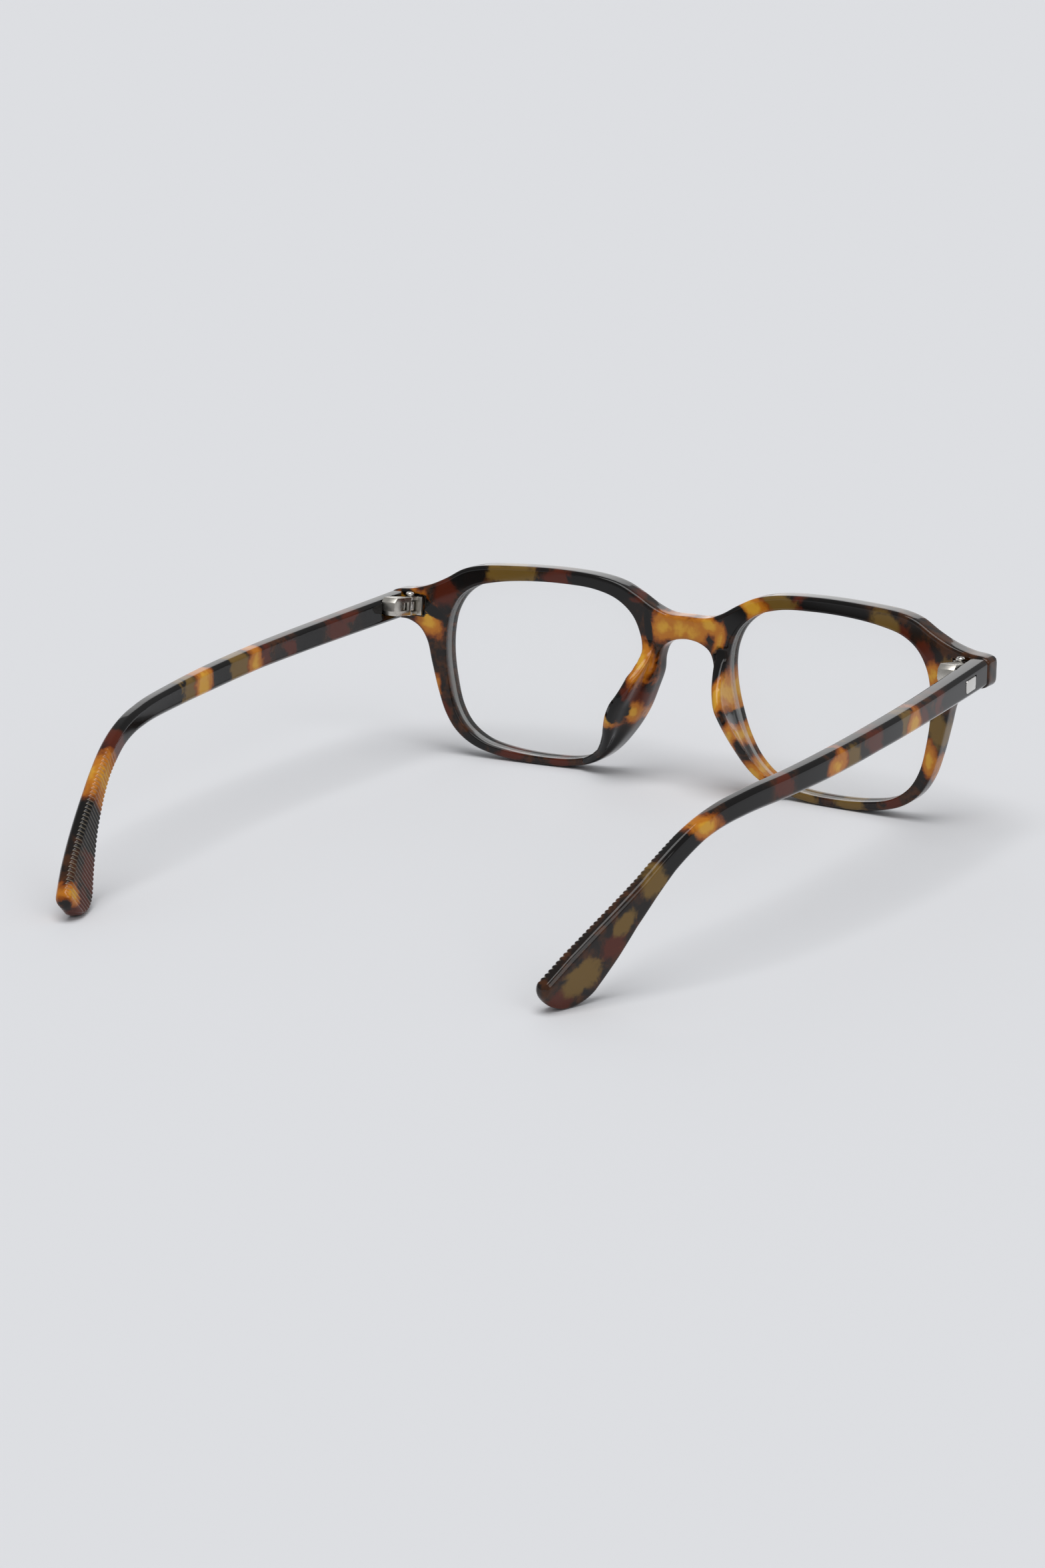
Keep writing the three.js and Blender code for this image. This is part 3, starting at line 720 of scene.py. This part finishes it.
def ribTree():  # mills slanting grooves into the inner face of the tip, and stores their mask for the painted rib highlight
    tree = bpy.data.node_groups.new("tipRibs", "GeometryNodeTree")
    face = tree.interface
    face.new_socket("Geometry", in_out="INPUT", socket_type="NodeSocketGeometry")
    for key in ribs:
        face.new_socket(key, in_out="INPUT", socket_type="NodeSocketFloat")
    face.new_socket("Material", in_out="INPUT", socket_type="NodeSocketMaterial")
    face.new_socket("Geometry", in_out="OUTPUT", socket_type="NodeSocketGeometry")
    given = tree.nodes.new("NodeGroupInput").outputs
    result = tree.nodes.new("NodeGroupOutput")

    def node(kind, settings, *values):
        made = tree.nodes.new(kind)
        for key, value in settings.items():
            setattr(made, key, value)
        for k, value in enumerate(values):
            if isinstance(value, bpy.types.NodeSocket):
                tree.links.new(value, made.inputs[k])
            elif value is not None:
                made.inputs[k].default_value = value
        return made

    def read(name, kind="FLOAT"):
        return node("GeometryNodeInputNamedAttribute", {"data_type": kind}, name).outputs[0]

    def calc(operation, *values):
        return node("ShaderNodeMath", {"operation": operation}, *values).outputs[0]

    def fade(value, low, high):
        made = node("ShaderNodeMapRange", {"interpolation_type": "SMOOTHSTEP"}, value, low, high)
        return made.outputs[0]

    along, across = read("along"), read("across")
    slanted = calc("ADD", along, calc("MULTIPLY", across, given["Slant"]))
    wave = calc("ABSOLUTE", calc("SINE", calc("MULTIPLY", calc("DIVIDE", slanted, given["Pitch"]), math.pi)))
    groove = calc("SUBTRACT", 1.0, wave)
    opens = fade(slanted, given["Start"], calc("ADD", given["Start"], 3.0))
    closes = calc("SUBTRACT", 1.0, fade(slanted, calc("SUBTRACT", given["End"], 2.0), given["End"]))
    mask = calc("MULTIPLY", calc("MULTIPLY", opens, closes), read("inside"))
    depth = calc("MULTIPLY", calc("MULTIPLY", groove, mask), calc("MULTIPLY", given["Depth"], mm))
    move = node("ShaderNodeVectorMath", {"operation": "SCALE"}, read("outward", "FLOAT_VECTOR"))
    tree.links.new(depth, move.inputs["Scale"])
    placed = tree.nodes.new("GeometryNodeSetPosition")
    tree.links.new(given["Geometry"], placed.inputs["Geometry"])
    tree.links.new(move.outputs[0], placed.inputs["Offset"])
    # the groove mask kept here is what the acetate paints as a pale rib highlight
    stored = tree.nodes.new("GeometryNodeStoreNamedAttribute")
    tree.links.new(placed.outputs[0], stored.inputs["Geometry"])
    stored.inputs["Name"].default_value = "ribHighlightMask"
    tree.links.new(calc("MULTIPLY", groove, mask), stored.inputs["Value"])
    real = tree.nodes.new("GeometryNodeRealizeInstances")
    tree.links.new(stored.outputs[0], real.inputs[0])
    painted = tree.nodes.new("GeometryNodeSetMaterial")
    tree.links.new(real.outputs[0], painted.inputs["Geometry"])
    tree.links.new(given["Material"], painted.inputs["Material"])
    tree.links.new(painted.outputs[0], result.inputs[0])
    return tree


def runTree(piece, tree, values):
    modifier = piece.modifiers.new(tree.name, "NODES")
    modifier.node_group = tree
    for item in tree.interface.items_tree:
        if item.in_out == "INPUT" and item.name in values:
            modifier[item.identifier] = values[item.name]
    return applied(piece)


plaque = {"at": 8.2, "deep": 0.5, "long": 4.8, "tall": 2.6, "proud": 0.2, "slack": 0.05}
pocket = {  # for the hinge case and the round knuckle, in the hinge's own axes
    "across": (-4.3, 2.45), "along": (-1.7, 8), "up": (-2.15, 2.15), "knuckle": 1.3, "knuckleUp": (-4, 4),
}


def placeOnTemple(distance):
    place, along, up, out = (Vector(value[0]) for value in templeFrames([distance]))
    turn = Matrix((out, along, up)).transposed().to_4x4()
    return Matrix.Translation(place) @ turn


def makeTemple(side, sign, tree):
    piece = makeTempleBody(side, sign)
    gap = temple["gap"]
    start = Vector(temple["start"])
    buttPlace = Vector((start.x, float(bow(start.x)) + gap, start.z))
    buttTurn = math.atan((start.x - front["flat"]) / front["sweep"])
    butt = Matrix.Translation(buttPlace) @ Matrix.Rotation(buttTurn, 4, "Z")
    mitre = (Matrix.Translation(start + Vector((temple["mitreAt"], 0, 0)))
             @ Matrix.Rotation(math.radians(temple["mitre"]), 4, "Z"))
    outer = lookUp(temple["thicknesses"], plaque["at"] / temple["length"]) / 2
    long, tall = (plaque[key] / 2 + plaque["slack"] for key in ("long", "tall"))
    carve(piece, [
        cutterBlock(pocket["across"], pocket["along"], pocket["up"], hingeTurn, sign),
        cutterTube(pocket["knuckle"], *pocket["knuckleUp"], hingeTurn, sign),
        cutterBlock((-8, 8), (-6, 0), (-8, 8), butt, sign),
        cutterBlock((-4, 0), (-8, 8), (-8, 8), mitre, sign),
        cutterBlock((outer + plaque["proud"] - plaque["deep"] - 0.1, outer + 2),
                    (-long, long), (-tall, tall), placeOnTemple(plaque["at"]), sign),
    ])
    mesh = piece.data
    places = uprightPoints(mesh) * (sign, 1, 1)
    grid = np.linspace(0, temple["length"], 593)
    centres, alongs, ups, outs = templeFrames(grid)
    nearest = np.concatenate([((chunk[:, None] - centres[None]) ** 2).sum(2).argmin(1)
                              for chunk in np.array_split(places, 40)])
    offset = places - centres[nearest]
    along = grid[nearest] + (offset * alongs[nearest]).sum(1)
    across = (offset * ups[nearest]).sum(1)
    outward = (offset * outs[nearest]).sum(1)
    wide = lookUp(temple["thicknesses"], along / temple["length"]) / 2
    direction = (outs[nearest] * (sign, 1, 1)) @ np.array(leanMatrix).T
    setAttribute(mesh, "along", "FLOAT", along)
    setAttribute(mesh, "across", "FLOAT", across)
    setAttribute(mesh, "inside", "FLOAT", ease(-outward / wide, -0.1, 0.6))
    setAttribute(mesh, "outward", "FLOAT_VECTOR", direction)
    setAttribute(mesh, "stain", "FLOAT_COLOR", stainOf(along, across, templeSpots[side]))
    runTree(piece, tree, {**ribs, "Material": acetate})
    sharpen(piece, 40)
    dress(piece, acetate, "tortoise_acetate", "temple_arm_" + side, "temple_" + side)
    return piece


tipRibs = ribTree()
for side, sign in sides.items():
    made = makeTemple(side, sign, tipRibs)
    print("temple", side, len(made.data.polygons), "faces")


# --- Hinges and plaques -------------------------------------------------------------------------

metalPieces = {  # CAD node: body, finish, slot, edge softening in millimetres
    "hinge_leaf": ("front", satin, "satin_steel", 0.07),
    "hinge_screw": ("front", bright, "bright_steel", 0.04),
    "hinge_carriage": ("carriage", bright, "bright_steel", 0.06),
    "guide_pin": ("carriage", bright, "bright_steel", 0.03),
    "spring_stop": ("temple_arm", satin, "satin_steel", 0.04),
    "hinge_case": ("temple_arm", satin, "satin_steel", 0.12),
    "temple_plaque": ("temple_arm", bright, "bright_steel", 0.1),
}


def softened(name, source, size):  # a copy of a CAD node with rounded edges
    piece = newObject(name, source.data.copy())
    piece.data.transform(Matrix.Identity(4))
    tidyMesh(piece, 2e-7)
    shape = bmesh.new()
    shape.from_mesh(piece.data)
    bmesh.ops.dissolve_limit(shape, angle_limit=math.radians(2), verts=shape.verts, edges=shape.edges)
    shape.to_mesh(piece.data)
    shape.free()
    modifier = piece.modifiers.new("soften", "BEVEL")
    modifier.width = size * mm
    modifier.segments = 2
    modifier.limit_method = "ANGLE"
    modifier.angle_limit = math.radians(35)
    applied(piece)
    sharpen(piece, 35)
    return piece


for side, sign in sides.items():
    for kind, (body, material, slot, size) in metalPieces.items():
        source = nodes[kind + "_" + side]
        body = body if body == "front" else body + "_" + side
        piece = softened("metal_" + kind + "_" + side, source, size)
        dress(piece, material, slot, body, kind + "_" + side)
    spring = nodes["flex_spring_" + side]
    spring.data.materials.clear()
    spring.data.materials.append(bright)
print("hinges made")


# --- Stage --------------------------------------------------------------------------------------

stage = {"floor": tint("#e0e1e4"), "reach": 40, "world": (0.97, 0.985, 1, 1), "worldStrength": 0.34}
floorMesh = bpy.data.meshes.new("floor")
reach = stage["reach"]
floorMesh.from_pydata([(-reach, -reach, 0), (reach, -reach, 0), (reach, reach, 0), (-reach, reach, 0)], [],
                      [(0, 1, 2, 3)])
floor = newObject("floor", floorMesh)
paper = Finish("floorPaper")
floorMesh.materials.append(paper.close(paper.node("ShaderNodeBsdfPrincipled", None, {
    "Base Color": stage["floor"], "Roughness": 0.9, "Specular IOR Level": 0.0})))

world = bpy.data.worlds.new("studio")
bpy.context.scene.world = world
world.use_nodes = True
world.node_tree.nodes["Background"].inputs[0].default_value = stage["world"]
world.node_tree.nodes["Background"].inputs[1].default_value = stage["worldStrength"]

lamps = {  # where the light comes from, how wide it is in degrees, strength
    "overhead": ((-0.1, 0.25, 1), 45, 1.75),
    "far side": ((0.5, -0.83, 0.36), 40, 0.36),
    "camera side": ((-1.1, 0.5, 0.7), 30, 0.4),
}
for name, (place, wide, strength) in lamps.items():
    light = bpy.data.lights.new(name, "SUN")
    light.angle = math.radians(wide)
    light.energy = strength
    lamp = newObject(name, light)
    lamp.rotation_euler = Vector(place).to_track_quat("Z", "Y").to_euler()

camera = {  # millimetres and degrees in the upright frame
    "place": (-311.618, 578.323, 143.058), "turn": 211.28, "rise": 14.158, "roll": 0.125, "lens": 73.469,
}
turn, rise, roll = (math.radians(camera[key]) for key in ("turn", "rise", "roll"))
back = Vector((math.sin(turn) * math.cos(rise), -math.cos(turn) * math.cos(rise), math.sin(rise)))
level = Vector((0, 0, 1)).cross(back).normalized()
above = back.cross(level)
right = level * math.cos(roll) + above * math.sin(roll)
upward = above * math.cos(roll) - level * math.sin(roll)
view = bpy.data.cameras.new("view")
view.lens = camera["lens"]
view.sensor_fit = "VERTICAL"
view.sensor_height = 36
view.clip_end = 200
viewer = newObject("view", view)
facing = leanMatrix @ Matrix((right, upward, back)).transposed()
viewer.matrix_world = Matrix.Translation(toRow @ Vector(camera["place"])) @ facing.to_4x4()
bpy.context.scene.camera = viewer
bpy.context.scene.view_settings.view_transform = "Standard"
print("stage set")
